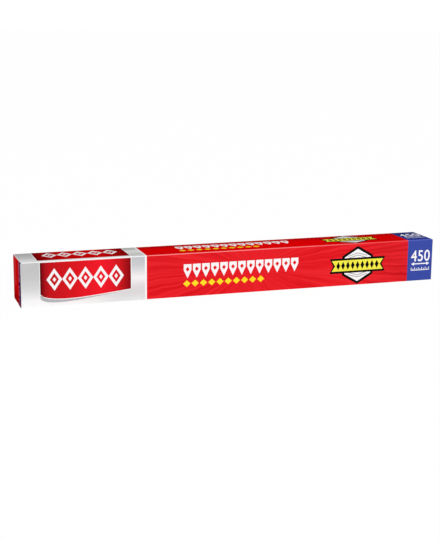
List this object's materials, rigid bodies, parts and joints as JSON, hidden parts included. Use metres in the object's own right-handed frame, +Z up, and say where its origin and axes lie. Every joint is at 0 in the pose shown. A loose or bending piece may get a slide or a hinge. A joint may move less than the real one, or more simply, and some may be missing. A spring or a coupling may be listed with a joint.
{
  "type": "boxed aluminium foil roll",
  "caption": "Long board dispenser carton with a hinged lid and front flap, holding a roll of household foil on a card core, with a serrated cutter strip inside the flap.",
  "frame": {"origin": "middle of the carton's underside, on the surface it stands on", "axes": "+X along the carton to the right as seen from the front, -Y out of the front flap, +Z up"},
  "size_m": [0.463, 0.0464, 0.0467],
  "materials": {
    "printed_board": "satin",
    "cutter_steel": "satin",
    "foil": "satin",
    "core_card": "matte"
  },
  "bodies": {
    "tray": {"carton_tray": "printed_board", "foil_roll": "foil", "core_tube": "core_card"},
    "lid": {"carton_lid": "printed_board", "cutter_strip": "cutter_steel"}
  },
  "joints": [
    {"name": "lid_hinge", "type": "hinge", "parent": "tray", "child": "lid", "pos_m": [0, 0.02315, 0.04516], "axis": [-1, 0, 0], "range_deg": [0, 120]}
  ]
}
